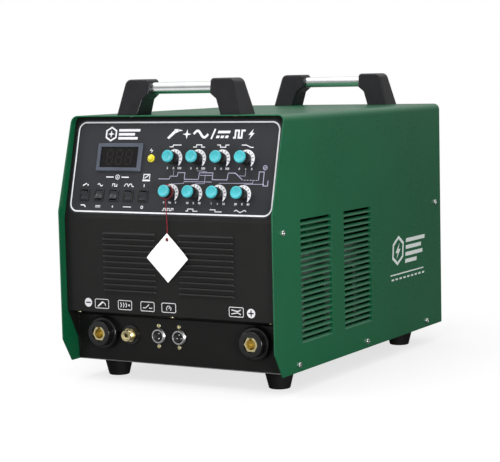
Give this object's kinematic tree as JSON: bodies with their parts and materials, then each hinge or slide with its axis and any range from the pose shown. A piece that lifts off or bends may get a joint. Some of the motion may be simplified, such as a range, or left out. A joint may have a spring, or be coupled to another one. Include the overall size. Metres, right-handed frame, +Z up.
{
  "type": "tig welding machine",
  "caption": "Portable AC/DC TIG welding inverter in a louvred sheet-metal case, with a tilted control panel, front cable and gas sockets, rubber feet and tube carrying handles.",
  "frame": {"origin": "bottom centre of the machine's box, on the ground between the feet", "axes": "+X to the right seen from the front, front faces -Y, +Z up"},
  "size_m": [0.3346, 0.538, 0.4054],
  "materials": {
    "green_paint": "gloss dark green powder coat",
    "black_paint": "satin black powder coat",
    "panel_print": "printed polycarbonate sheet, charcoal with white print",
    "blue_grey_plastic": "satin blue-grey moulding",
    "smoked_window": "smoked acrylic",
    "circuit_board": "green solder mask",
    "yellow_lens": "translucent yellow lens",
    "black_plastic": "moulded black nylon",
    "handle_plastic": "satin black moulded nylon",
    "knob_plastic": "black moulded knob with a coloured cap",
    "knob_cap": "teal moulded cap",
    "rocker_plastic": "black moulded rocker",
    "ivory_plastic": "moulded breaker casing",
    "black_rubber": "moulded rubber",
    "hose_rubber": "rubber hose",
    "zinc_sheet": "zinc-plated sheet steel",
    "zinc_screw": "bright zinc-plated screws",
    "bright_wire": "bright plated wire",
    "satin_aluminium": "satin aluminium",
    "polished_tube": "polished bright tube",
    "brass": "machined brass",
    "copper": "copper bar",
    "ferrite_and_copper": "ferrite core with a copper winding",
    "white_card": "blank white card",
    "red_string": "thin dark red twine"
  },
  "bodies": {
    "case": {"cover": "green_paint", "base_pan": "zinc_sheet", "fascia": "black_paint", "lower_panel": "black_paint", "rear_panel": "black_paint", "feet": "black_rubber", "case_screws": "zinc_screw", "panel_screws": "zinc_screw", "control_overlay": "panel_print", "meter_bezel": "blue_grey_plastic", "meter_window": "smoked_window", "meter_module": "circuit_board", "fault_led": "yellow_lens", "potentiometers": "zinc_sheet", "rocker_housings": "black_plastic", "control_board": "circuit_board", "socket_collars": "black_plastic", "weld_socket_inserts": "brass", "gas_outlet": "brass", "remote_socket_shells": "satin_aluminium", "remote_socket_inserts": "black_plastic", "fan_frame": "black_plastic", "fan_guard": "bright_wire", "mains_breaker": "ivory_plastic", "cable_gland": "black_plastic", "gas_inlet": "brass", "earth_stud": "zinc_screw", "inner_bridge": "zinc_sheet", "heatsinks": "satin_aluminium", "main_transformer": "ferrite_and_copper", "output_choke": "ferrite_and_copper", "power_board": "circuit_board", "capacitors": "black_plastic", "hf_unit": "black_plastic", "gas_valve": "zinc_sheet", "gas_hoses": "hose_rubber", "busbars": "copper", "front_handle_left_bracket": "handle_plastic", "front_handle_right_bracket": "handle_plastic", "front_handle_tube": "polished_tube", "rear_handle_left_bracket": "handle_plastic", "rear_handle_right_bracket": "handle_plastic", "rear_handle_tube": "polished_tube"},
    "start_current_control": {"start_current_knob": "knob_plastic"},
    "peak_current_control": {"peak_current_knob": "knob_plastic"},
    "base_current_control": {"base_current_knob": "knob_plastic"},
    "down_slope_control": {"down_slope_knob": "knob_plastic"},
    "pulse_frequency_control": {"pulse_frequency_knob": "knob_plastic"},
    "pulse_width_control": {"pulse_width_knob": "knob_plastic"},
    "post_gas_control": {"post_gas_knob": "knob_plastic"},
    "ac_balance_control": {"ac_balance_knob": "knob_plastic"},
    "process_switch": {"process_rocker": "rocker_plastic"},
    "output_switch": {"output_rocker": "rocker_plastic"},
    "trigger_switch": {"trigger_rocker": "rocker_plastic"},
    "pulse_switch": {"pulse_rocker": "rocker_plastic"},
    "remote_switch": {"remote_rocker": "rocker_plastic"},
    "fan": {"fan_rotor": "black_plastic"},
    "breaker_toggle": {"breaker_lever": "black_plastic"},
    "tag": {"hang_tag": "white_card", "tag_string": "red_string"}
  },
  "joints": [
    {"name": "start_current_knob_turn", "type": "hinge", "parent": "case", "child": "start_current_control", "pos_m": [0.002, -0.23642, 0.30158], "axis": [0, -0.9681, 0.2504], "range_deg": [-150, 150]},
    {"name": "peak_current_knob_turn", "type": "hinge", "parent": "case", "child": "peak_current_control", "pos_m": [0.0383, -0.23642, 0.30158], "axis": [0, -0.9681, 0.2504], "range_deg": [-150, 150]},
    {"name": "base_current_knob_turn", "type": "hinge", "parent": "case", "child": "base_current_control", "pos_m": [0.0746, -0.23642, 0.30158], "axis": [0, -0.9681, 0.2504], "range_deg": [-150, 150]},
    {"name": "down_slope_knob_turn", "type": "hinge", "parent": "case", "child": "down_slope_control", "pos_m": [0.1109, -0.23642, 0.30158], "axis": [0, -0.9681, 0.2504], "range_deg": [-150, 150]},
    {"name": "pulse_frequency_knob_turn", "type": "hinge", "parent": "case", "child": "pulse_frequency_control", "pos_m": [0.002, -0.24794, 0.25705], "axis": [0, -0.9681, 0.2504], "range_deg": [-150, 150]},
    {"name": "pulse_width_knob_turn", "type": "hinge", "parent": "case", "child": "pulse_width_control", "pos_m": [0.0383, -0.24794, 0.25705], "axis": [0, -0.9681, 0.2504], "range_deg": [-150, 150]},
    {"name": "post_gas_knob_turn", "type": "hinge", "parent": "case", "child": "post_gas_control", "pos_m": [0.0746, -0.24794, 0.25705], "axis": [0, -0.9681, 0.2504], "range_deg": [-150, 150]},
    {"name": "ac_balance_knob_turn", "type": "hinge", "parent": "case", "child": "ac_balance_control", "pos_m": [0.1109, -0.24794, 0.25705], "axis": [0, -0.9681, 0.2504], "range_deg": [-150, 150]},
    {"name": "process_rocker_press", "type": "hinge", "parent": "case", "child": "process_switch", "pos_m": [-0.1341, -0.24817, 0.25256], "axis": [1, 0, 0], "range_deg": [-20, 0]},
    {"name": "output_rocker_press", "type": "hinge", "parent": "case", "child": "output_switch", "pos_m": [-0.1106, -0.24817, 0.25256], "axis": [1, 0, 0], "range_deg": [0, 20]},
    {"name": "trigger_rocker_press", "type": "hinge", "parent": "case", "child": "trigger_switch", "pos_m": [-0.0871, -0.24817, 0.25256], "axis": [1, 0, 0], "range_deg": [0, 20]},
    {"name": "pulse_rocker_press", "type": "hinge", "parent": "case", "child": "pulse_switch", "pos_m": [-0.0636, -0.24817, 0.25256], "axis": [1, 0, 0], "range_deg": [-20, 0]},
    {"name": "remote_rocker_press", "type": "hinge", "parent": "case", "child": "remote_switch", "pos_m": [-0.0401, -0.24817, 0.25256], "axis": [1, 0, 0], "range_deg": [-20, 0]},
    {"name": "fan_spin", "type": "hinge", "parent": "case", "child": "fan", "pos_m": [-0.038, 0.2115, 0.231], "axis": [0, 1, 0], "continuous": true},
    {"name": "breaker_throw", "type": "hinge", "parent": "case", "child": "breaker_toggle", "pos_m": [0.105, 0.2415, 0.251], "axis": [1, 0, 0], "range_deg": [0, 70]},
    {"name": "tag_swing", "type": "hinge", "parent": "case", "child": "tag", "pos_m": [0.002, -0.258, 0.25965], "axis": [0, -1, 0], "range_deg": [-12, 12]}
  ]
}
